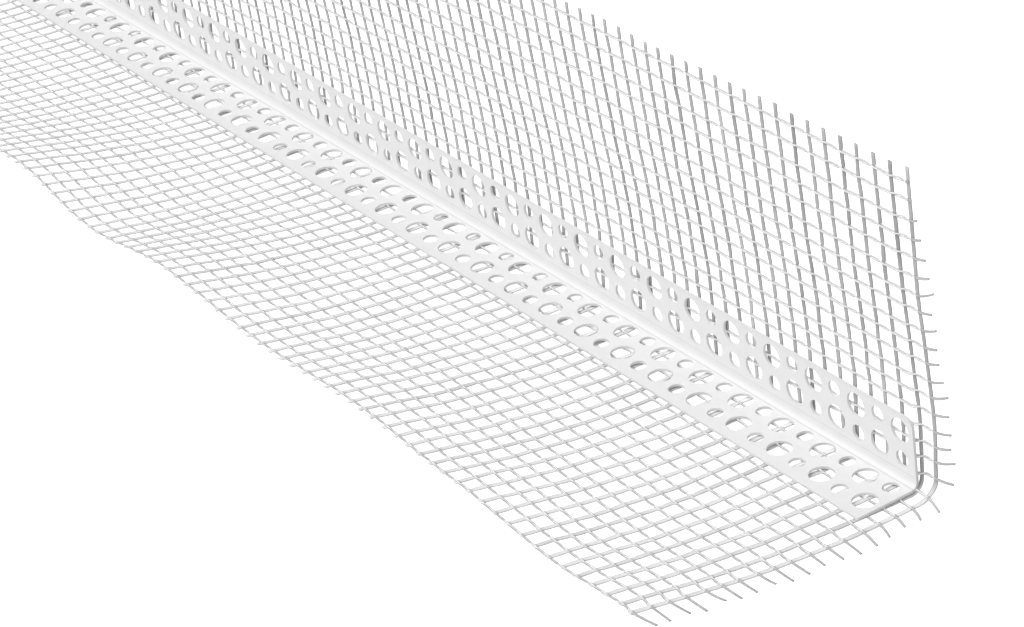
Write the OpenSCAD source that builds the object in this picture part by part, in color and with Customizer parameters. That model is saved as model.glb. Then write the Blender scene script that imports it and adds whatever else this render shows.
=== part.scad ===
// Mesh plaster profile: a perforated plastic corner angle with a folded strip of glass-fibre mesh
// bonded to its outside. X runs along the profile, the flat wing points to -Y and the other wing up.
// The origin is on the floor, at the middle of the outline.

/* [Angle] */
// Length of the plastic angle, as sold
length = 2500; // [150:1:3000]
// Thickness of the plastic
wall = 0.8; // [0.6:0.05:1.2]
// Width of the leg that lies flat, from the outer corner
flat_leg = 20.6; // [19:0.1:30]
// Height of the upright leg, from the outer corner
up_leg = 21.4; // [20:0.1:30]
// Radius in the inner corner
inner_r = 1.8; // [1:0.1:2]
// Radius of the upright leg's top corner at each end
end_corner_r = 3; // [0.5:0.1:4]

/* [Holes] */
// Distance from one large hole to the next in its row
hole_pitch = 18; // [17:0.1:24]
// Diameter of the large holes
large_d = 7.2; // [5:0.1:7.4]
// Diameter of the small holes
small_d = 4.7; // [3:0.1:5]
// From the outer corner to the first large row of the flat leg
flat_row = 6.3; // [6.2:0.1:7]
// From the outer corner to the first large row of the upright leg
up_row = 8.7; // [7.5:0.1:9]
// From the first large row of a leg to its second
row_gap = 7.6; // [7:0.1:8]
// How far the small holes stand outside the large row beside them
small_shift = 1.1; // [0:0.1:1.4]
// From the near end of the angle to the centre of the first large hole
first_hole = 5.3; // [4.5:0.1:12]

/* [Mesh] */
// Height of the upright wing, from the outer corner to the tips of its cross strands
up_wing = 98.5; // [60:0.1:150]
// Width of the flat wing, from the outer corner to its cut edge
flat_wing = 95.4; // [60:0.1:150]
// Distance from one lengthwise strand of the flat wing to the next
flat_warp_pitch = 5.44; // [4:0.01:8]
// Distance from one lengthwise strand of the upright wing to the next
up_warp_pitch = 5.23; // [4:0.01:8]
// Distance from one cross strand to the next
weft_pitch = 6.17; // [4:0.01:9]
// Width of a lengthwise strand
warp_w = 0.9; // [0.5:0.1:1.2]
// Thickness of a lengthwise strand
warp_t = 0.4; // [0.2:0.05:0.6]
// Width of a cross strand
weft_w = 1.3; // [0.8:0.1:1.8]
// Thickness of a cross strand
weft_t = 0.4; // [0.2:0.05:0.6]
// From each end of the angle to the last cross strand past it
end_weft = 5.6; // [2:0.1:12]
// Free length of the lengthwise strands past the last cross strand
free_end = 7; // [2:0.1:12]
// How deep the fold's own lengthwise strand is bedded into the cross strands
bed = 0.1; // [0.05:0.01:0.15]
// Where that strand lies round the fold, as a share of the bend from the flat wing up
fold_share = 0.31; // [0.2:0.01:0.8]

/* [Hidden] */
$fn = 48;
through = 1;

// The strip is wefts on the outside and warps within them, and the angle is seated on the warps.
mesh_t = weft_t + warp_t;
outer_r = inner_r + wall;
warp_r = outer_r + warp_t;
fold_r = outer_r + mesh_t;
back_y = flat_wing / 2;

// Cross strands, from the near end of the strip to the far one
near_weft = length / 2 + end_weft;
weft_count = floor((length + 2 * end_weft) / weft_pitch) + 1;
function weft_x(i) = near_weft - i * weft_pitch;
mesh_near = near_weft + free_end;
mesh_far = -mesh_near;

// Lengthwise strands, counted outwards from the one in the fold along the strip's middle
fold_arc = warp_r * PI / 2;
function flat_warp_at(i) = fold_r + i * flat_warp_pitch - fold_arc * fold_share;
function up_warp_at(i) = fold_r + i * up_warp_pitch - fold_arc * (1 - fold_share);
flat_warp_count = floor((flat_wing - warp_w / 2 - flat_warp_at(0)) / flat_warp_pitch);
up_warp_count = floor((up_wing - warp_w / 2 - up_warp_at(0)) / up_warp_pitch);

// Holes
hole_start = length / 2 - first_hole;
hole_steps = floor((length - 2 * first_hole) / (hole_pitch / 2));

// Puts an outline, drawn from the outer corner with x along the flat wing and y up, along X
module along(from, to) {
    translate([from, back_y, 0])
        rotate([90, 0, 90])
            linear_extrude(to - from)
                mirror([1, 0])
                    children();
}

// A quarter of a ring round the corner's centre, between two radii
module quarter_ring(inside, outside) {
    intersection() {
        translate([fold_r, fold_r])
            difference() {
                circle(outside);
                circle(inside);
            }
        square(fold_r);
    }
}

// The section of the angle
module angle_outline() {
    translate([mesh_t, fold_r])
        square([wall, up_leg - outer_r]);
    translate([fold_r, mesh_t])
        square([flat_leg - outer_r, wall]);
    quarter_ring(inner_r, outer_r);
}

// One column of holes across a leg: a large hole in one row and a small one beside the other
module hole_column(step, row, tall) {
    odd = step % 2;
    large_at = mesh_t + row + (odd == 1 ? 0 : row_gap);
    small_at = mesh_t + row + (odd == 1 ? row_gap + small_shift : -small_shift);
    x = hole_start - step * hole_pitch / 2;
    translate([x, large_at, 0])
        cylinder(h = tall, d = large_d);
    translate([x, small_at, 0])
        cylinder(h = tall, d = small_d);
}

// All the holes of a leg, as pegs that stand from z = 0 and count y from the outer corner
module holes(row) {
    for (step = [0 : hole_steps])
        hole_column(step, row, wall + 2 * through);
}

// What comes off the upright leg to round its top corner at the near end
module corner_waste() {
    translate([
        length / 2 - end_corner_r,
        back_y - mesh_t + through,
        mesh_t + up_leg - end_corner_r
    ])
        rotate([90, 0, 0])
            linear_extrude(wall + 2 * through)
                difference() {
                    square(end_corner_r + through);
                    circle(end_corner_r);
                }
}

module angle() {
    color("whitesmoke")
        difference() {
            along(-length / 2, length / 2)
                angle_outline();
            corner_waste();
            mirror([1, 0, 0])
                corner_waste();
            translate([0, back_y, mesh_t - through])
                mirror([0, 1, 0])
                    holes(flat_row);
            translate([0, back_y - mesh_t + through, 0])
                rotate([90, 0, 0])
                    holes(up_row);
        }
}

// A cross strand of the flat wing, from the fold to the cut edge
module flat_weft(i) {
    translate([weft_x(i) - weft_w / 2, back_y - flat_wing, 0])
        cube([weft_w, flat_wing - fold_r, weft_t]);
}

module flat_warp(i) {
    translate([mesh_far, back_y - flat_warp_at(i) - warp_w / 2, weft_t])
        cube([2 * mesh_near, warp_w, warp_t]);
}

// A cross strand of the upright wing, from the fold to its tip
module up_weft(i) {
    translate([weft_x(i) - weft_w / 2, back_y - weft_t, fold_r])
        cube([weft_w, weft_t, up_wing - fold_r]);
}

module up_warp(i) {
    translate([mesh_far, back_y - mesh_t, up_warp_at(i) - warp_w / 2])
        cube([2 * mesh_near, warp_t, warp_w]);
}

// The cross strands between the two end ones, bound by the warp at the cut edge
module flat_wefts() {
    color("gainsboro") {
        for (i = [1 : weft_count - 2])
            flat_weft(i);
        flat_warp(flat_warp_count);
    }
}

// The lengthwise strands within, bound by the two end wefts
module flat_warps() {
    color("gainsboro") {
        for (i = [1 : flat_warp_count - 1])
            flat_warp(i);
        flat_weft(0);
        flat_weft(weft_count - 1);
    }
}

// The bends of the cross strands, bound by the warp that runs along the fold
module fold_wefts() {
    half = warp_w / warp_r * 90 / PI;
    color("gainsboro") {
        for (i = [0 : weft_count - 1])
            along(weft_x(i) - weft_w / 2, weft_x(i) + weft_w / 2)
                quarter_ring(warp_r, fold_r);
        along(mesh_far, mesh_near)
            intersection() {
                quarter_ring(outer_r, warp_r + bed);
                translate([fold_r, fold_r])
                    rotate(-90 * (1 + fold_share))
                        polygon([
                            [0, 0],
                            [fold_r, -fold_r * tan(half)],
                            [fold_r, fold_r * tan(half)]
                        ]);
            }
    }
}

module up_wefts() {
    color("gainsboro") {
        for (i = [1 : weft_count - 2])
            up_weft(i);
        up_warp(up_warp_count);
    }
}

module up_warps() {
    color("gainsboro") {
        for (i = [1 : up_warp_count - 1])
            up_warp(i);
        up_weft(0);
        up_weft(weft_count - 1);
    }
}

angle();
flat_wefts();
flat_warps();
fold_wefts();
up_wefts();
up_warps();
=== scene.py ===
"""Mesh plaster profile: the looks of a perforated corner angle with a folded glass-fibre mesh."""

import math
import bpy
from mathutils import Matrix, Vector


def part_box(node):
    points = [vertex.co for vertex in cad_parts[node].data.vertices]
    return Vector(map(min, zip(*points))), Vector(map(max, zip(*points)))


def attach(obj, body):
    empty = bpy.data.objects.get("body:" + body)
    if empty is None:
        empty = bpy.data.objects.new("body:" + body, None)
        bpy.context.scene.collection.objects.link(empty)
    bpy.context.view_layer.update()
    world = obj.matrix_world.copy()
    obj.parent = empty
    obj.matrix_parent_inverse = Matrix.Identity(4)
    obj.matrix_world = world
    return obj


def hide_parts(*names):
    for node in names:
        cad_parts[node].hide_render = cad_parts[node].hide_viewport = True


bl_info = {
    "name": "Mesh Plaster Profile",
    "version": (1, 0, 0),
    "blender": (4, 5, 0),
    "location": "View3D > Sidebar > Plaster Profile",
    "description": "Dresses a perforated corner angle and weaves the folded mesh bonded round it",
    "category": "Object",
}

import bpy
import numpy as np
from mathutils import Matrix, Vector

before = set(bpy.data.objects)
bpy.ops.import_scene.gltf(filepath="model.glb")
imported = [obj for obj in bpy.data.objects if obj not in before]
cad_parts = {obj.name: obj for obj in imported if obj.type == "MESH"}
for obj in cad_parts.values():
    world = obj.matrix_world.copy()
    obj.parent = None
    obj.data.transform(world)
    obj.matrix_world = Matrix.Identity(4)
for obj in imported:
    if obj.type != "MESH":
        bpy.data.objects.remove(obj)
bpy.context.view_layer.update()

MM = 0.001
SEED = 41
FINGER_SEED = SEED + 100

# Measures of the CAD model
ANGLE_LOW, ANGLE_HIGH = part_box("angle")
STRIP_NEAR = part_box("flat_warps")[1].x
FLAT_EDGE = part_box("flat_wefts")[0].y
UP_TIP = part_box("up_wefts")[1].z
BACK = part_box("up_wefts")[1].y
FOLD_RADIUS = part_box("fold_wefts")[1].z
STRIP_THICKNESS = ANGLE_LOW.z
WALL = 0.8 * MM
CAD_WARP_WIDTH = 0.9 * MM

# The strip's middle surface: a flat run, a bend and an upright run. Places along it are counted
# from the foot of the bend, upwards being positive.
MIDDLE = STRIP_THICKNESS / 2
BEND_RADIUS = FOLD_RADIUS - MIDDLE
BEND_LENGTH = BEND_RADIUS * math.pi / 2
FLAT_RUN = BACK - FOLD_RADIUS - FLAT_EDGE
UP_RUN = UP_TIP - FOLD_RADIUS
LEG_RUN = ANGLE_HIGH.y - ANGLE_LOW.y - FOLD_RADIUS + STRIP_THICKNESS

# Past the angle's near end the strip is free: its bend is wider, and the upright wing stands back
FREE_FROM = 1 * MM  # how far inside the end this starts
FREE_EASE = 3 * MM  # over which length it comes
FREE_WIDER = 1.7 * MM  # what it adds to the bend's radius
STAND_BACK = 1.4 * MM
STAND_EASE = 8 * MM  # from the foot of the bend upwards
STAND_FADE = 35 * MM  # from the top of the bend upwards

# Over this length past the angle's leg the flat wing turns up to its slope
LIFT_EASE = 9 * MM

# How the cross strands lean along X, over places along the strip: a row for each distance from
# the near end, and a row for the first strand
SLANT_AT = np.array((-88, -67, -46, -35, -24, 5, 25, 46, 62, 93)) * MM
SLANT_FROM = np.array((0, 20, 50, 90, 130)) * MM
SLANT = np.array((
    (-2.2, -0.3, -0.2, -0.9, -1.4, 0.8, 1.7, 0.8, -0.3, -1.4),
    (-3.0, -1.1, -0.9, -1.5, -2.0, -0.3, 0.9, 0.0, -1.5, -2.5),
    (-3.6, -1.4, -1.1, -1.5, -2.0, -0.7, 0.2, -0.9, -2.8, -4.9),
    (-3.3, -1.3, -1.3, -1.8, -2.2, -0.7, 0.3, -1.1, -3.4, -6.2),
    (-2.0, -0.3, -0.9, -1.6, -2.0, 0.2, 1.9, 0.5, -2.1, -5.7))) * MM
FIRST_AT = np.array((-91, -78, -62, -52, -35, -22, -9, 0, 5, 12, 19, 26, 36, 49, 60, 97)) * MM
FIRST_SLANT = np.array((
    -3.8, -2.7, -1.5, -1.1, -1.5, -1.7, -1.15, -0.9,
    -1.0, -0.25, 0.7, 1.1, 0.7, 0, -1.0, -1.0)) * MM

# How the lengthwise strands drift from an even spacing, towards the upright wing's tips
DRIFT_AT = np.array((-91, -80, -58, -42, -31, -20, 0, 20, 33, 48, 64, 80, 96)) * MM
DRIFT = np.array((
    0.3, -0.1, -1.1, -0.8, 0.0, 0.8, 0.3, -0.1, -0.4, -1.25, -2.15, -2.0, -1.2)) * MM

# How high the flat wing's cut edge stands off the floor, over distances from the near end
LIFT_AT = np.array((0, 30, 80, 128, 180, 240, 285, 335, 400, 470)) * MM
LIFT = np.array((9, 7.8, 10.6, 12.2, 10.5, 13.5, 9.6, 14.5, 10, 9)) * MM

# Small wanderings, as standard deviations
KNOT_WANDER = 0.13 * MM  # of a cross strand along X, from knot to knot
WEFT_WANDER = 0.12 * MM  # of a whole cross strand along X
WARP_WANDER = 0.1 * MM  # of a lengthwise strand to its side
WIDTH_SPREAD = 0.06  # of a cross strand's width, as a share
SHADE_SPREAD = 0.09  # of its tone, as a share

# Slow waves of the lengthwise strands
WAVE = 0.25 * MM
WAVE_REACH = 70 * MM  # length of a radian of the wave
WAVE_STEP = 2.1  # from one strand to the next, in radians
FLAT_WAVE = 0.6 * MM  # one more that the flat wing's strands have in common
FLAT_WAVE_REACH = 38 * MM
FLAT_WAVE_FROM = 90 * MM

# Heights above the strip's middle surface, on the inside of the corner
WEFT_HEIGHT = -0.2 * MM
YARN_HEIGHT = 0.2 * MM
YARN_RISE = 0.27 * MM  # of a yarn over a cross strand
YARN_DROP = 0.55 * MM  # of a yarn under a cross strand

# Cross strands
EDGE_STUB = 0.9 * MM  # past the strand at the cut edge
TIP = (3.8 * MM, 0.2 * MM)  # past the topmost strand: mean and standard deviation
PINCH = 0.16  # share by which they narrow at a knot
PINCH_REACH = 0.7 * MM
BEND_RINGS = 6
TURN_EASE = 2 * MM  # how far past the bend's ends their width and tones still change
WEFT_POWER = 0.55  # how square their section is, as in tubes

# Tones of a cross strand, from 0, dark, to 1, white, which are painted light and shade: of its
# middle, of its edge towards the near end and of its other edge. On the flat wing the middle is
# lit and the edges are darker with painted shade; on the upright wing it is darker all over with
# painted shade.
FLAT_PAINTED_TONES = (1.0, 0.86, 0.34)
UP_PAINTED_TONES = (0.48, 0.4, 0.42)
# Painted shadow of the angle's flat leg, on the cross strands just past its edge
LEG_SHADE = 0.17  # how much darker it is just past the angle's flat leg
LEG_SHADE_FROM = 3 * MM
LEG_SHADE_REACH = 8 * MM
FLAT_SHADE = 0.55  # share of the differences between strands that the flat wing shows

# Tones of a yarn: towards the middle of its pair and away from it, and both for its free end. The
# edge away from the pair is darker with painted shade, more so on the flat wing.
YARN_INNER = 1.0
FLAT_YARN_OUTER = 0.42
UP_YARN_OUTER = 0.76
FREE_YARN_TONES = (0.75, 0.45)

# The two yarns of a pair, in shares of the pitch between the cross strands
PAIR_PHASES = np.array([-0.5, -0.3, -0.12, 0.0, 0.12, 0.3])  # where they have rings, from a knot
KNOT_REACH = 0.16  # over which they rise and drop
SWAP_POWER = 0.6  # how suddenly they swap sides, 1 being a sine
KNOT_WIDER = 0.35
KNOT_THICKER = 0.1

# A pair that is modelled as one strand: its height at a knot, and its width and thickness there as
# shares of what they are between knots
PLAIN_KNOT_HEIGHT = 0.3 * MM
PLAIN_KNOT_WIDTH = 0.55
PLAIN_KNOT_THICKNESS = 1.3

# Free ends of the lengthwise strands
FINGER_RINGS = np.array([1.0, 0.96, 0.8, 0.6, 0.4, 0.2, 0.08])  # as shares of their length
SWAY_POWER = 1.5
CURL_POWER = 2
SPLAY = 0.17 * MM  # of each yarn from the middle of its pair
SPLAY_WAVE = 0.05 * MM
SPLAY_TURN = 3.0  # of the wave over the free end, in radians

# On the upright wing. Sway, to the side, and curl, inwards, are shares of a free end's length, each
# a mean and a standard deviation.
FINGER_AT = np.array((20, 33, 42, 70, 80, 86, 91, 96)) * MM  # places along the strip
FINGER = np.array((7.2, 6.0, 5.4, 5.8, 3.1, 1.6, 1.0, 0.4)) * MM  # lengths there
FINGER_RANGE = (0.94, 1.06)  # of a chance factor on the length
UP_SWAY = (0.26, 0.07)
UP_CURL = (-0.08, 0.08)

# On the flat wing
FLAT_MORE = (0.2 * MM, 0.4 * MM)  # length past the CAD model's: mean and standard deviation
FLAT_SWAY = (0.07, 0.04)
FLAT_CURL = (0.0, 0.05)
EDGE_FINGERS = 3  # strands at the cut edge that are shorter
EDGE_SHORTER = 1.4 * MM
FOLD_SHORTER = 1.8 * MM  # at most, near the fold
SWAY_STEP = 0.015  # less sway with each strand from the cut edge
FOLD_SWAY = 0.12  # less sway, at most, near the fold
BY_FOLD_AT = -6 * MM  # the middle of what is near the fold, and its reach
BY_FOLD_REACH = 16 * MM

# How far the floor lies below the part, so that no two faces fall together
FLOOR_GAP = 0.05 * MM


class MeshStripSettings(bpy.types.PropertyGroup):
    """Sizes and colours of the woven strip"""

    weft_pitch: bpy.props.FloatProperty(
        name="Weft pitch", description="From one cross strand to the next",
        default=6.17 * MM, unit="LENGTH")
    flat_warp_pitch: bpy.props.FloatProperty(
        name="Flat warp pitch",
        description="From one lengthwise strand of the flat wing to the next",
        default=5.44 * MM, unit="LENGTH")
    up_warp_pitch: bpy.props.FloatProperty(
        name="Upright warp pitch",
        description="From one lengthwise strand of the upright wing to the next",
        default=5.23 * MM, unit="LENGTH")
    fold_share: bpy.props.FloatProperty(
        name="Fold warp", description="Where the fold's own strand lies, as a share of the bend",
        default=0.31)
    free_end: bpy.props.FloatProperty(
        name="Free end", description="Length of the lengthwise strands past the last cross strand",
        default=7.0 * MM, unit="LENGTH")
    weft_width: bpy.props.FloatProperty(
        name="Weft width", description="Width of a cross strand on the flat wing",
        default=1.8 * MM, unit="LENGTH")
    up_weft_width: bpy.props.FloatProperty(
        name="Upright weft width", description="Width of a cross strand on the upright wing",
        default=1.52 * MM, unit="LENGTH")
    weft_thickness: bpy.props.FloatProperty(
        name="Weft thickness", description="Thickness of a cross strand",
        default=0.34 * MM, unit="LENGTH")
    yarn_width: bpy.props.FloatProperty(
        name="Yarn width", description="Width of one of the two yarns of a lengthwise strand",
        default=0.52 * MM, unit="LENGTH")
    yarn_thickness: bpy.props.FloatProperty(
        name="Yarn thickness", description="Thickness of one of those two yarns",
        default=0.34 * MM, unit="LENGTH")
    flat_yarn_spread: bpy.props.FloatProperty(
        name="Flat yarn spread",
        description="How far a yarn of the flat wing lies from the middle of its pair",
        default=0.21 * MM, unit="LENGTH")
    up_yarn_spread: bpy.props.FloatProperty(
        name="Upright yarn spread", description="The same on the upright wing",
        default=0.34 * MM, unit="LENGTH")
    near_length: bpy.props.FloatProperty(
        name="Twisted length",
        description="Length at the near end where both yarns of each pair are modelled",
        default=0.5, unit="LENGTH")
    # The strands' tones, which are painted light and shade, run from the shaded colour to the
    # coated one
    shaded_colour: bpy.props.FloatVectorProperty(
        name="Shaded colour", description="Colour of the glass where the coating is thin",
        default=(0.12, 0.12, 0.12), subtype="COLOR", size=3)
    coated_colour: bpy.props.FloatVectorProperty(
        name="Coated colour", description="Colour of the white coating where it is thick",
        default=(0.96, 0.96, 0.96), subtype="COLOR", size=3)


class AngleSettings(bpy.types.PropertyGroup):
    """Finish of the plastic angle"""

    colour: bpy.props.FloatVectorProperty(
        name="Colour", description="Colour of the plastic",
        default=(0.88, 0.88, 0.88), subtype="COLOR", size=3)
    roughness: bpy.props.FloatProperty(
        name="Roughness", description="Roughness of the plastic", default=0.42, subtype="FACTOR")


class StageSettings(bpy.types.PropertyGroup):
    """Camera, floor and light"""

    lens: bpy.props.FloatProperty(
        name="Lens", description="Focal length on a 36 mm wide frame, in millimetres",
        default=121.87)
    azimuth: bpy.props.FloatProperty(
        name="Azimuth", description="Camera's bearing",
        default=math.radians(59.84), unit="ROTATION")
    elevation: bpy.props.FloatProperty(
        name="Elevation", description="Camera's height above the horizon",
        default=math.radians(29.356), unit="ROTATION")
    roll: bpy.props.FloatProperty(
        name="Roll", description="Camera's tilt about its own axis",
        default=math.radians(-8.319), unit="ROTATION")
    position: bpy.props.FloatVectorProperty(
        name="Position", description="Camera's position in the part's frame",
        default=(1.85504, -0.41843, 0.49623), subtype="TRANSLATION", size=3)
    floor_colour: bpy.props.FloatVectorProperty(
        name="Floor colour", description="Colour of the floor",
        default=(0.6, 0.6, 0.6), subtype="COLOR", size=3)
    sky_strength: bpy.props.FloatProperty(
        name="Sky strength", description="Strength of the even light from all round", default=0.42)
    key_strength: bpy.props.FloatProperty(
        name="Key strength", description="Strength of the broad overhead light", default=2.0)
    softness: bpy.props.FloatProperty(
        name="Softness", description="How wide each of the two lights looks from the part",
        default=math.radians(50), unit="ROTATION")
    key_from: bpy.props.FloatVectorProperty(
        name="Key direction", description="Where the overhead light stands, seen from the part",
        default=(-0.45, -0.62, 0.8), subtype="XYZ", size=3)
    fill_strength: bpy.props.FloatProperty(
        name="Fill strength", description="Strength of the weak light from the camera's side",
        default=0.6)
    fill_from: bpy.props.FloatVectorProperty(
        name="Fill direction", description="Where the weak light stands, seen from the part",
        default=(0.85, -0.45, 0.3), subtype="XYZ", size=3)


def smooth(share):
    """Eases a share from 0 to 1."""
    share = np.clip(share, 0.0, 1.0)
    return share * share * (3.0 - 2.0 * share)


def edge_lift(x):
    """How high the flat wing's cut edge stands off the floor, in waves along the profile."""
    distance = np.maximum(ANGLE_HIGH.x - x, 0.0) % LIFT_AT[-1]
    before = np.clip(np.searchsorted(LIFT_AT, distance, side="right") - 1, 0, len(LIFT_AT) - 2)
    share = smooth((distance - LIFT_AT[before]) / (LIFT_AT[before + 1] - LIFT_AT[before]))
    return LIFT[before] + (LIFT[before + 1] - LIFT[before]) * share


def strip_point(x, along, inward):
    """Points of the folded strip at x, at places along it and at heights inside its middle surface.

    Returns the points, the direction along the strip and the direction into the corner.
    """
    past = smooth((x - ANGLE_HIGH.x + FREE_FROM) / FREE_EASE)
    radius = BEND_RADIUS + FREE_WIDER * past
    foot = (BEND_LENGTH - radius * math.pi / 2) / 2
    run = np.maximum(foot - along, 0.0)
    free = np.maximum(run - LEG_RUN, 0.0)
    turned = 1.0 - np.exp(-free / LIFT_EASE)
    slope = np.arcsin(edge_lift(x) / (FLAT_RUN - LEG_RUN - LIFT_EASE))
    bend = np.clip((along - foot) / radius, 0.0, math.pi / 2)
    rise = np.maximum(along - foot - radius * math.pi / 2, 0.0)
    out = MIDDLE + radius * (1.0 - np.sin(bend)) + run - (1.0 - np.cos(slope)) * free
    lift = np.sin(slope) * (free - LIFT_EASE * turned)
    up = MIDDLE + radius * (1.0 - np.cos(bend)) + lift + rise
    turn = bend - slope * turned
    direction = np.stack([np.zeros_like(turn), np.cos(turn), np.sin(turn)], -1)
    normal = np.stack([np.zeros_like(turn), -np.sin(turn), np.cos(turn)], -1)
    stand = STAND_BACK * past * smooth((along - foot) / STAND_EASE) * np.exp(-rise / STAND_FADE)
    points = np.stack([x, BACK - out + stand, up], -1) + normal * inward[..., None]
    return points, direction, normal


def slant(x, along):
    """How far the cross strands at x lean along X at each place along the strip."""
    rows = np.array([np.interp(along, SLANT_AT, row) for row in SLANT])
    return np.stack([np.interp(ANGLE_HIGH.x - x, SLANT_FROM, column) for column in rows.T], -1)


class Weave:
    """The places of the strands, with their small wanderings, in the strip's own coordinates.

    Wefts are the cross strands, counted from the near end. Warps are the lengthwise strands,
    counted from the flat wing's cut edge.
    """

    def __init__(self, settings):
        self.settings = settings
        near = STRIP_NEAR - settings.free_end
        self.weft_count = int(2 * near / settings.weft_pitch) + 1
        self.weft_x = near - settings.weft_pitch * np.arange(self.weft_count)
        self.near_count = int(settings.near_length / settings.weft_pitch)
        fold = BEND_LENGTH * settings.fold_share
        half = CAD_WARP_WIDTH / 2
        self.flat_count = int((FLAT_RUN + fold - half) / settings.flat_warp_pitch)
        up_count = int((UP_RUN + BEND_LENGTH - fold - half) / settings.up_warp_pitch)
        below = fold - settings.flat_warp_pitch * np.arange(self.flat_count, 0, -1)
        above = fold + settings.up_warp_pitch * np.arange(1, up_count + 1)
        even = np.concatenate([below, [fold], above])
        self.warp_at = even + np.interp(even, DRIFT_AT, DRIFT)
        draw = np.random.default_rng(SEED)
        per_knot = (self.weft_count, len(self.warp_at))
        per_weft = (self.weft_count, 1)
        self.weft_wander = draw.normal(0.0, KNOT_WANDER, per_knot)
        self.weft_wander += draw.normal(0.0, WEFT_WANDER, per_weft)
        # The first two wefts lean as they do in the tables, with no wander of their own
        self.weft_wander[1] = 0.0
        self.weft_wander += slant(self.weft_x, self.warp_at)
        self.weft_wander[0] = np.interp(self.warp_at, FIRST_AT, FIRST_SLANT)
        x = self.weft_x[:, None]
        step = WAVE_STEP * np.arange(len(self.warp_at))
        flat_turn = (near - x - FLAT_WAVE_FROM) / FLAT_WAVE_REACH
        self.warp_wander = draw.normal(0.0, WARP_WANDER, per_knot)
        self.warp_wander += WAVE * np.sin(x / WAVE_REACH + step)
        self.warp_wander[:, :self.flat_count] += FLAT_WAVE * np.sin(flat_turn)
        self.width = draw.normal(1.0, WIDTH_SPREAD, per_knot)
        self.tip = draw.normal(*TIP, self.weft_count)
        self.shade = draw.normal(1.0, SHADE_SPREAD, per_knot)
        self.shade += draw.normal(0.0, SHADE_SPREAD, per_weft)

    def upright(self, j):
        """Whether warp j is one of the upright wing."""
        return j > self.flat_count

    def spread(self, j):
        """How far the two yarns of warp j lie from the middle of their pair."""
        return self.settings.up_yarn_spread if self.upright(j) else self.settings.flat_yarn_spread

    def yarn_tones(self, j, knot, free):
        """Tones of a yarn of warp j, towards the middle of its pair and away from it.

        The edge away from the pair is darker with painted shade, more so on the flat wing. Both are
        white at the knots, a painted highlight. The rings of the free end come first, and are grey.
        """
        inner = np.full_like(knot, YARN_INNER)
        outer = np.full_like(knot, UP_YARN_OUTER if self.upright(j) else FLAT_YARN_OUTER)
        inner[:free], outer[:free] = FREE_YARN_TONES
        # Painted highlight: the knots are white, with no painted shade on the edge
        outer += (1.0 - outer) * knot
        return inner, outer

    def finger(self, j):
        """The free end of warp j, from its tip to the first knot.

        Returns x, place and height of its rings, and how far its yarns splay from their middle.
        """
        draw = np.random.default_rng(FINGER_SEED + j)
        place = self.warp_at[j]
        knot_x = self.weft_x[0] + self.weft_wander[0, j]
        if self.upright(j):
            length = np.interp(place, FINGER_AT, FINGER) * draw.uniform(*FINGER_RANGE)
            sway = length * draw.normal(*UP_SWAY)
            curl = length * draw.normal(*UP_CURL)
        else:
            by_fold = math.exp(-((place - BY_FOLD_AT) / BY_FOLD_REACH) ** 2)
            shorter = EDGE_SHORTER * (j < EDGE_FINGERS) + FOLD_SHORTER * by_fold
            length = STRIP_NEAR - knot_x - shorter + draw.normal(*FLAT_MORE)
            sway = length * (draw.normal(*FLAT_SWAY) - SWAY_STEP * j - FOLD_SWAY * by_fold)
            curl = length * abs(draw.normal(*FLAT_CURL))
        x = knot_x + length * FINGER_RINGS
        places = place + self.warp_wander[0, j] + sway * FINGER_RINGS ** SWAY_POWER
        heights = YARN_HEIGHT + curl * FINGER_RINGS ** CURL_POWER
        turn = SPLAY_TURN * FINGER_RINGS + draw.uniform(0.0, SPLAY_TURN)
        return x, places, heights, SPLAY + SPLAY_WAVE * np.sin(turn)

    def warp_path(self, j, stations):
        """x and places of warp j at stations, which count the wefts and parts between them."""
        wefts = np.arange(self.weft_count)
        x = np.interp(stations, wefts, self.weft_x + self.weft_wander[:, j])
        return x, self.warp_at[j] + np.interp(stations, wefts, self.warp_wander[:, j])


def tubes(strands, corners, power=0.8, fade=4.0):
    """Vertices, their tones, side faces and end faces of many strands with as many rings each.

    A strand is a tuple of its rings' centres, directions to the side and up, half widths, half
    heights and three tones: of the middle, of the edge on that side and of the other edge. A lower
    power makes the section squarer. A higher fade narrows the edges' tones, and with a fade of 0
    they meet in the middle.
    """
    centres, sides, ups, half_widths, half_heights, tones = map(np.array, zip(*strands))
    turn = 2 * np.pi * (np.arange(corners) + 0.5) / corners
    across = np.sign(np.cos(turn)) * np.abs(np.cos(turn)) ** power
    above = np.sign(np.sin(turn)) * np.abs(np.sin(turn)) ** power
    vertices = (
        centres[:, :, None]
        + sides[:, :, None] * (half_widths[..., None] * across)[..., None]
        + ups[:, :, None] * (half_heights[..., None] * above)[..., None]
    ).reshape(-1, 3)
    middle, edge, other = np.moveaxis(tones, 1, 0)[..., None]
    rim = np.abs(np.cos(turn)) ** fade
    tone = (middle * (1.0 - rim) + np.where(np.cos(turn) > 0, edge, other) * rim).ravel()
    count, rings = centres.shape[:2]
    ring = np.arange(corners)
    after = (ring + 1) % corners
    first = np.arange(count)[:, None] * rings * corners
    last = first + (rings - 1) * corners
    start = (first + np.arange(rings - 1) * corners).reshape(-1, 1)
    end = start + corners
    quads = np.stack([start + ring, start + after, end + after, end + ring], -1).reshape(-1, 4)
    caps = np.concatenate([first + ring[::-1], last + ring])
    return vertices, tone, quads, caps


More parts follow.
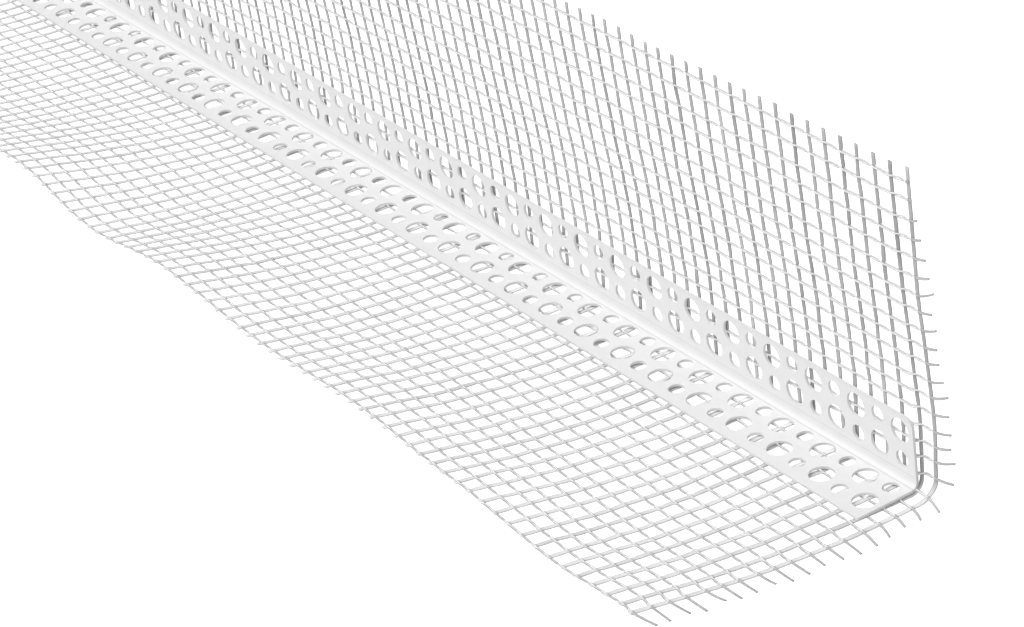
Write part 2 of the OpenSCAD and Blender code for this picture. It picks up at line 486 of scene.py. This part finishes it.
def strand_mesh(name, parts, material):
    """Joins the parts made by tubes into one object."""
    vertices, tones, loops, sizes, base = [], [], [], [], 0
    for points, tone, quads, caps in parts:
        vertices.append(points)
        tones.append(tone)
        for faces in (quads, caps):
            loops.append((faces + base).ravel())
            sizes.append(np.full(len(faces), faces.shape[1]))
        base += len(points)
    loops, sizes = np.concatenate(loops), np.concatenate(sizes)
    mesh = bpy.data.meshes.new(name)
    mesh.vertices.add(base)
    mesh.vertices.foreach_set("co", np.concatenate(vertices).astype(np.float32).ravel())
    mesh.loops.add(len(loops))
    mesh.loops.foreach_set("vertex_index", loops.astype(np.int32))
    mesh.polygons.add(len(sizes))
    starts = np.concatenate([[0], np.cumsum(sizes)[:-1]])
    mesh.polygons.foreach_set("loop_start", starts.astype(np.int32))
    mesh.polygons.foreach_set("use_smooth", np.ones(len(sizes), bool))
    mesh.update(calc_edges=True)
    mesh.validate()
    attribute = mesh.attributes.new("tone", "FLOAT", "POINT")
    attribute.data.foreach_set("value", np.concatenate(tones).astype(np.float32))
    mesh.materials.append(material)
    piece = bpy.data.objects.new(name, mesh)
    bpy.context.scene.collection.objects.link(piece)
    return piece


def weft_tubes(weave, chosen, corners, between):
    """The chosen wefts, each in one run from the cut edge to the tip, with rings between knots."""
    settings = weave.settings
    knots = weave.warp_at
    end = UP_RUN + BEND_LENGTH
    stops = [knots[0] - EDGE_STUB, *knots, end]
    steps = [np.linspace(a, b, between, endpoint=False) for a, b in zip(stops[:-1], stops[1:])]
    bend = np.linspace(0.0, BEND_LENGTH, BEND_RINGS)
    rings = np.unique(np.concatenate([*steps, [end], bend]))
    run = np.minimum(rings, knots[-1])
    past_warp = np.maximum(rings - knots[-1], 0.0) / (end - knots[-1])
    gap = np.min(np.abs(rings[:, None] - knots), 1)
    pinch = 1.0 - PINCH * np.exp(-((gap / PINCH_REACH) ** 2))
    upright = smooth((rings + TURN_EASE) / (BEND_LENGTH + 2 * TURN_EASE))
    breadth = settings.weft_width + (settings.up_weft_width - settings.weft_width) * upright
    # The flat leg's painted shadow on the cross strands
    past_leg = rings + LEG_RUN + LEG_SHADE_FROM
    leg_shadow = 1.0 - LEG_SHADE * np.exp(-((past_leg / LEG_SHADE_REACH) ** 2))
    # Painted light and shade: the flat wing's lit tones turn into the upright wing's shaded ones
    even = [flat * leg_shadow + (up - flat) * upright for flat, up in zip(FLAT_PAINTED_TONES, UP_PAINTED_TONES)]
    shade_share = FLAT_SHADE + (1.0 - FLAT_SHADE) * upright
    strands = []
    for i in chosen:
        along = run + past_warp * weave.tip[i]
        x = weave.weft_x[i] + np.interp(along, knots, weave.weft_wander[i])
        point, _, normal = strip_point(x, along, np.full_like(along, WEFT_HEIGHT))
        side = np.broadcast_to([1.0, 0.0, 0.0], point.shape)
        half_width = np.interp(along, knots, weave.width[i]) * pinch * breadth / 2
        half_height = settings.weft_thickness / 2 / pinch
        shade = 1.0 + (np.interp(along, knots, weave.shade[i]) - 1.0) * shade_share
        tones = [np.clip(tone * shade, 0.0, 1.0) for tone in even]
        strands.append((point, side, normal, half_width, half_height, tones))
    return [tubes(strands, corners, power=WEFT_POWER)]


def paired_warp_tubes(weave, chosen, last, corners):
    """Both yarns of each chosen warp, from its free end to a little past the last weft given.

    They lie side by side between the wefts and swap sides at each, one over it and one under it.
    """
    settings = weave.settings
    stations = (np.arange(last + 1)[:, None] + PAIR_PHASES).ravel()
    stations = stations[stations >= 0.0]
    nearest = np.round(stations)
    phase = stations - nearest
    near_knot = np.exp(-((phase / KNOT_REACH) ** 2))
    crossing = np.sin(np.pi * phase) * np.cos(np.pi * nearest)
    swap = np.sign(crossing) * np.abs(crossing) ** SWAP_POWER
    free = len(FINGER_RINGS)
    knot = np.concatenate([np.zeros(free), near_knot])
    half_width = (1.0 + KNOT_WIDER * knot) * settings.yarn_width / 2
    half_height = (1.0 + KNOT_THICKER * knot) * settings.yarn_thickness / 2
    parts = []
    for side, rise in ((1.0, YARN_RISE), (-1.0, -YARN_DROP)):
        on_side = np.concatenate([np.full(free, side), swap * side]) >= 0.0
        strands = []
        for j in chosen:
            x, places = weave.warp_path(j, stations)
            free_x, free_places, free_heights, splay = weave.finger(j)
            places += weave.spread(j) * side * swap
            free_places += side * splay
            point, direction, normal = strip_point(
                np.concatenate([free_x, x]),
                np.concatenate([free_places, places]),
                np.concatenate([free_heights, YARN_HEIGHT + near_knot * rise]))
            inner, outer = weave.yarn_tones(j, knot, free)
            # The yarn's edge away from its pair takes the outer tone, which is painted shade
            tones = (inner, np.where(on_side, outer, inner), np.where(on_side, inner, outer))
            strands.append((point, direction, normal, half_width, half_height, tones))
        parts.append(tubes(strands, corners, fade=0.0))
    return parts


def plain_warp_tubes(weave, chosen, first, corners):
    """Each chosen warp, from the first weft given to the far end, as one strand.

    It is wide between the wefts and narrow where it crosses them.
    """
    settings = weave.settings
    stations = np.arange(first, weave.weft_count, 0.5)
    at_knot = stations % 1.0 == 0.0
    heights = np.where(at_knot, PLAIN_KNOT_HEIGHT, YARN_HEIGHT)
    width = np.where(at_knot, PLAIN_KNOT_WIDTH, 1.0)
    half_height = np.where(at_knot, PLAIN_KNOT_THICKNESS, 1.0) * settings.yarn_thickness / 2
    strands = []
    for j in chosen:
        x, places = weave.warp_path(j, stations)
        x[-1] = -STRIP_NEAR
        point, direction, normal = strip_point(x, places, heights)
        half_width = width * (weave.spread(j) + settings.yarn_width / 2)
        inner, outer = weave.yarn_tones(j, at_knot.astype(float), 0)
        # One tone halfway between the yarn's middle and its edge with painted shade, white at the
        # knots
        tones = ((inner + outer) / 2,) * 3
        strands.append((point, direction, normal, half_width, half_height, tones))
    return [tubes(strands, corners)]


def principled(name):
    """A material with a plain Principled BSDF: returns it, its nodes, its links and the shader."""
    material = bpy.data.materials.new(name)
    material.use_nodes = True
    nodes, links = material.node_tree.nodes, material.node_tree.links
    shader = next(n for n in nodes if n.type == "BSDF_PRINCIPLED")
    return material, nodes, links, shader


def new_node(nodes, kind, inputs=None, **settings):
    """A new node with the given settings and the given values in its inputs."""
    node = nodes.new(kind)
    for name, value in settings.items():
        setattr(node, name, value)
    for name, value in (inputs or {}).items():
        node.inputs[name].default_value = value
    return node


def new_group(name, inputs, outputs):
    """An empty shader node group with the given sockets: returns it, its entry and its exit."""
    group = bpy.data.node_groups.new(name, "ShaderNodeTree")
    for in_out, sockets in (("INPUT", inputs), ("OUTPUT", outputs)):
        for label, kind in sockets.items():
            group.interface.new_socket(label, in_out=in_out, socket_type=f"NodeSocket{kind}")
    return group, group.nodes.new("NodeGroupInput"), group.nodes.new("NodeGroupOutput")


def grain_group():
    """Shader group: a noise stretched along a strand or extrusion, as a colour and as a height."""
    name = "drawn grain"
    if name in bpy.data.node_groups:
        return bpy.data.node_groups[name]
    group, entry, leave = new_group(
        name,
        {"Stretch": "Vector", "Dark Colour": "Color", "Light Colour": "Color"},
        {"Colour": "Color", "Height": "Float"})
    nodes, links = group.nodes, group.links
    place = nodes.new("ShaderNodeTexCoord")
    stretch = new_node(nodes, "ShaderNodeVectorMath", operation="MULTIPLY")
    noise = new_node(nodes, "ShaderNodeTexNoise", {"Scale": 1.0, "Detail": 3.0})
    spread = new_node(nodes, "ShaderNodeMapRange", {"From Min": 0.32, "From Max": 0.68})
    mix = new_node(nodes, "ShaderNodeMix", data_type="RGBA")
    links.new(place.outputs["Object"], stretch.inputs[0])
    links.new(entry.outputs["Stretch"], stretch.inputs[1])
    links.new(stretch.outputs[0], noise.inputs["Vector"])
    links.new(noise.outputs["Fac"], spread.inputs["Value"])
    links.new(spread.outputs["Result"], mix.inputs["Factor"])
    links.new(entry.outputs["Dark Colour"], mix.inputs["A"])
    links.new(entry.outputs["Light Colour"], mix.inputs["B"])
    links.new(mix.outputs["Result"], leave.inputs["Colour"])
    links.new(noise.outputs["Fac"], leave.inputs["Height"])
    return group


def shade_line_group():
    """Shader group: a soft line where a coordinate passes a place, the mask for painted shade."""
    name = "crease"
    if name in bpy.data.node_groups:
        return bpy.data.node_groups[name]
    group, entry, leave = new_group(
        name,
        {"Coordinate": "Float", "Place": "Float", "Half Width": "Float"},
        {"Mask": "Float"})
    nodes, links = group.nodes, group.links
    away = new_node(nodes, "ShaderNodeMath", operation="SUBTRACT")
    size = new_node(nodes, "ShaderNodeMath", operation="ABSOLUTE")
    fade = new_node(
        nodes, "ShaderNodeMapRange", {"To Min": 1.0, "To Max": 0.0},
        interpolation_type="SMOOTHSTEP")
    links.new(entry.outputs["Coordinate"], away.inputs[0])
    links.new(entry.outputs["Place"], away.inputs[1])
    links.new(away.outputs[0], size.inputs[0])
    links.new(size.outputs[0], fade.inputs["Value"])
    links.new(entry.outputs["Half Width"], fade.inputs["From Max"])
    links.new(fade.outputs["Result"], leave.inputs["Mask"])
    return group


def place_grain(nodes, stretch, dark, light):
    """Puts the drawn grain into a material, running between two colours."""
    colours = {"Dark Colour": (*dark, 1.0), "Light Colour": (*light, 1.0)}
    return new_node(
        nodes, "ShaderNodeGroup", {"Stretch": stretch, **colours}, node_tree=grain_group())


def raise_grain(nodes, links, grain, shader, strength, distance):
    """Gives a surface the grain's height as relief."""
    relief = new_node(nodes, "ShaderNodeBump", {"Strength": strength, "Distance": distance})
    links.new(grain.outputs["Height"], relief.inputs["Height"])
    links.new(relief.outputs["Normal"], shader.inputs["Normal"])


def shade_line_mask(nodes, links, coordinate, place, half_width):
    """Puts a soft line or band, where painted shade goes, into a material: returns its mask."""
    crease = new_node(
        nodes, "ShaderNodeGroup", {"Place": place, "Half Width": half_width},
        node_tree=shade_line_group())
    links.new(coordinate, crease.inputs["Coordinate"])
    return crease.outputs["Mask"]


def painted_shade(nodes, links, colour, mask, depth):
    """Darkens a colour by a share of it where a mask is white, as painted shade."""
    left = 1.0 - depth
    dark = new_node(
        nodes, "ShaderNodeMix", {"B": (left, left, left, 1.0)},
        data_type="RGBA", blend_type="MULTIPLY")
    links.new(mask, dark.inputs["Factor"])
    links.new(colour, dark.inputs["A"])
    return dark.outputs["Result"]


def plastic_material(settings):
    """White extruded plastic: faint draw lines along the profile, painted shade over the inner
    corner, and a thin line of painted shade along a crease on either side of it."""
    material, nodes, links, shader = principled("white drawn plastic")
    shader.inputs["Roughness"].default_value = settings.roughness
    contrast = 0.015
    dark = [c * (1.0 - contrast) for c in settings.colour]
    light = [min(c * (1.0 + contrast), 1.0) for c in settings.colour]
    grain = place_grain(nodes, (3.0, 400.0, 400.0), dark, light)
    raise_grain(nodes, links, grain, shader, strength=0.05, distance=0.1 * MM)
    place = nodes.new("ShaderNodeTexCoord")
    split = nodes.new("ShaderNodeSeparateXYZ")
    links.new(place.outputs["Object"], split.inputs[0])
    y, z = split.outputs["Y"], split.outputs["Z"]
    corner_y, corner_z = ANGLE_HIGH.y - WALL, ANGLE_LOW.z + WALL
    # Painted shade: a wide band over the inner corner, then a thin line along a crease on either
    # side
    corner = new_node(nodes, "ShaderNodeMath", operation="MULTIPLY")
    links.new(shade_line_mask(nodes, links, y, corner_y, half_width=2.8 * MM), corner.inputs[0])
    links.new(shade_line_mask(nodes, links, z, corner_z, half_width=4.4 * MM), corner.inputs[1])
    colour = painted_shade(nodes, links, grain.outputs["Colour"], corner.outputs[0], depth=0.1)
    for coordinate, at, depth in ((y, corner_y - 1.3 * MM, 0.2), (z, corner_z + 2.9 * MM, 0.1)):
        mask = shade_line_mask(nodes, links, coordinate, at, half_width=0.35 * MM)
        colour = painted_shade(nodes, links, colour, mask, depth)
    links.new(colour, shader.inputs["Base Color"])
    return material


def fibre_material(settings, name, stretch):
    """Glass fibre in a white coating, streaked along the strand, its tone kept in the mesh: a tone
    that paints light and shade onto the strand and differs a little at random.
    """
    material, nodes, links, shader = principled(name)
    shader.inputs["Roughness"].default_value = 0.55
    shader.inputs["Specular IOR Level"].default_value = 0.3
    tone = new_node(nodes, "ShaderNodeAttribute", attribute_name="tone")
    # The tone, painted light and shade, mixes the shaded colour with the coated colour
    coat = new_node(
        nodes, "ShaderNodeMix",
        {"A": (*settings.shaded_colour, 1.0), "B": (*settings.coated_colour, 1.0)},
        data_type="RGBA")
    streaked = new_node(
        nodes, "ShaderNodeMix", {"Factor": 1.0}, data_type="RGBA", blend_type="MULTIPLY")
    grain = place_grain(nodes, stretch, dark=(0.93, 0.93, 0.93), light=(1.0, 1.0, 1.0))
    raise_grain(nodes, links, grain, shader, strength=0.3, distance=0.05 * MM)
    links.new(tone.outputs["Fac"], coat.inputs["Factor"])
    links.new(coat.outputs["Result"], streaked.inputs["A"])
    links.new(grain.outputs["Colour"], streaked.inputs["B"])
    links.new(streaked.outputs["Result"], shader.inputs["Base Color"])
    return material


def weft_material(settings):
    """The flat cross strands."""
    return fibre_material(settings, "coated weft roving", (2500.0, 120.0, 120.0))


def warp_material(settings):
    """The thin twisted lengthwise yarns."""
    return fibre_material(settings, "coated warp yarn", (160.0, 2500.0, 2500.0))


def settle(piece, *nodes):
    """Rides a mesh piece on the profile in place of its CAD nodes."""
    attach(piece, "root")
    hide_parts(*nodes)


class PLASTER_OT_angle(bpy.types.Operator):
    """Give the plastic angle its finish"""

    bl_idname = "plaster.angle"
    bl_label = "Dress the Angle"

    def execute(self, context):
        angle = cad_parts["angle"]
        material = plastic_material(context.scene.plaster_angle)
        angle.data.materials.clear()
        angle.data.materials.append(material)
        return {"FINISHED"}


class PLASTER_OT_wefts(bpy.types.Operator):
    """Lay the cross strands round the fold"""

    bl_idname = "plaster.wefts"
    bl_label = "Lay the Wefts"

    def execute(self, context):
        settings = context.scene.plaster_mesh
        weave = Weave(settings)
        material = weft_material(settings)
        near = range(weave.near_count)
        far = range(weave.near_count, weave.weft_count)
        for name, tube_parts in (
            ("wefts_near", weft_tubes(weave, near, corners=8, between=3)),
            ("wefts_far", weft_tubes(weave, far, corners=4, between=1)),
        ):
            piece = strand_mesh(name, tube_parts, material)
            settle(piece, "flat_wefts", "fold_wefts", "up_wefts")
        return {"FINISHED"}


class PLASTER_OT_warps(bpy.types.Operator):
    """Run the lengthwise strands over the wefts"""

    bl_idname = "plaster.warps"
    bl_label = "Run the Warps"

    def execute(self, context):
        settings = context.scene.plaster_mesh
        weave = Weave(settings)
        material = warp_material(settings)
        near = weave.near_count
        flat = range(weave.flat_count + 1)
        up = range(weave.flat_count + 1, len(weave.warp_at))
        for wing, chosen in (("flat", flat), ("up", up)):
            for name, tube_parts in (
                (f"{wing}_warps_near", paired_warp_tubes(weave, chosen, near, corners=4)),
                (f"{wing}_warps_far", plain_warp_tubes(weave, chosen, near, corners=4)),
            ):
                piece = strand_mesh(name, tube_parts, material)
                settle(piece, f"{wing}_warps")
        return {"FINISHED"}


class PLASTER_OT_stage(bpy.types.Operator):
    """Set the camera, the floor and the light"""

    bl_idname = "plaster.stage"
    bl_label = "Set the Stage"

    def execute(self, context):
        settings = context.scene.plaster_stage
        self.camera(context, settings)
        self.floor(context, settings)
        self.light(context, settings)
        return {"FINISHED"}

    def camera(self, context, settings):
        data = bpy.data.cameras.new("camera")
        data.lens = settings.lens
        data.sensor_width = 36.0
        data.clip_start = 0.01
        data.clip_end = 100.0
        camera = bpy.data.objects.new("camera", data)
        a, e, r = settings.azimuth, settings.elevation, settings.roll
        back = Vector((math.sin(a) * math.cos(e), -math.cos(a) * math.cos(e), math.sin(e)))
        level = Vector((math.cos(a), math.sin(a), 0.0))
        upright = back.cross(level)
        right = math.cos(r) * level + math.sin(r) * upright
        up = -math.sin(r) * level + math.cos(r) * upright
        turn = Matrix((right, up, back)).transposed().to_4x4()
        camera.matrix_world = Matrix.Translation(Vector(settings.position)) @ turn
        context.scene.collection.objects.link(camera)
        context.scene.camera = camera

    def floor(self, context, settings):
        reach = 14.0
        corners = ((-reach, -reach, 0), (reach, -reach, 0), (reach, reach, 0), (-reach, reach, 0))
        mesh = bpy.data.meshes.new("floor")
        mesh.from_pydata(corners, [], [(0, 1, 2, 3)])
        material, nodes, links, shader = principled("pale floor")
        shader.inputs["Base Color"].default_value = (*settings.floor_colour, 1.0)
        shader.inputs["Roughness"].default_value = 0.9
        shader.inputs["Specular IOR Level"].default_value = 0.1
        shader.inputs["Emission Color"].default_value = (1.0, 1.0, 1.0, 1.0)
        seen = nodes.new("ShaderNodeLightPath")
        links.new(seen.outputs["Is Camera Ray"], shader.inputs["Emission Strength"])
        mesh.materials.append(material)
        floor = bpy.data.objects.new("floor", mesh)
        floor.location.z = -FLOOR_GAP
        context.scene.collection.objects.link(floor)

    def light(self, context, settings):
        context.scene.view_settings.view_transform = "Standard"
        world = bpy.data.worlds.new("even sky")
        world.use_nodes = True
        nodes, links = world.node_tree.nodes, world.node_tree.links
        sky = next(n for n in nodes if n.type == "BACKGROUND")
        sky.inputs["Color"].default_value = (1.0, 1.0, 1.0, 1.0)
        seen = nodes.new("ShaderNodeLightPath")
        level = new_node(nodes, "ShaderNodeMix", {"A": settings.sky_strength, "B": 1.0})
        links.new(seen.outputs["Is Camera Ray"], level.inputs["Factor"])
        links.new(level.outputs["Result"], sky.inputs["Strength"])
        context.scene.world = world
        for name, strength, direction in (
            ("overhead", settings.key_strength, settings.key_from),
            ("fill", settings.fill_strength, settings.fill_from),
        ):
            data = bpy.data.lights.new(name, "SUN")
            data.energy = strength
            data.angle = settings.softness
            lamp = bpy.data.objects.new(name, data)
            lamp.rotation_mode = "QUATERNION"
            lamp.rotation_quaternion = Vector(direction).to_track_quat("Z", "Y")
            context.scene.collection.objects.link(lamp)


class PLASTER_PT_panel(bpy.types.Panel):
    """The profile's pieces, in the order in which they are made"""

    bl_idname = "PLASTER_PT_panel"
    bl_label = "Mesh Plaster Profile"
    bl_space_type = "VIEW_3D"
    bl_region_type = "UI"
    bl_category = "Plaster Profile"

    def draw(self, context):
        for operator in OPERATORS:
            self.layout.operator(operator.bl_idname)


OPERATORS = (PLASTER_OT_stage, PLASTER_OT_angle, PLASTER_OT_wefts, PLASTER_OT_warps)
GROUPS = {
    "plaster_mesh": MeshStripSettings,
    "plaster_angle": AngleSettings,
    "plaster_stage": StageSettings,
}


def register():
    for name, group in GROUPS.items():
        bpy.utils.register_class(group)
        setattr(bpy.types.Scene, name, bpy.props.PointerProperty(type=group))
    for operator in OPERATORS:
        bpy.utils.register_class(operator)
    bpy.utils.register_class(PLASTER_PT_panel)


def unregister():
    bpy.utils.unregister_class(PLASTER_PT_panel)
    for operator in reversed(OPERATORS):
        bpy.utils.unregister_class(operator)
    for name, group in GROUPS.items():
        delattr(bpy.types.Scene, name)
        bpy.utils.unregister_class(group)


def main():
    register()
    bpy.ops.plaster.stage()
    bpy.ops.plaster.angle()
    bpy.ops.plaster.wefts()
    bpy.ops.plaster.warps()
    bpy.context.view_layer.update()


if __name__ == "__main__":
    main()
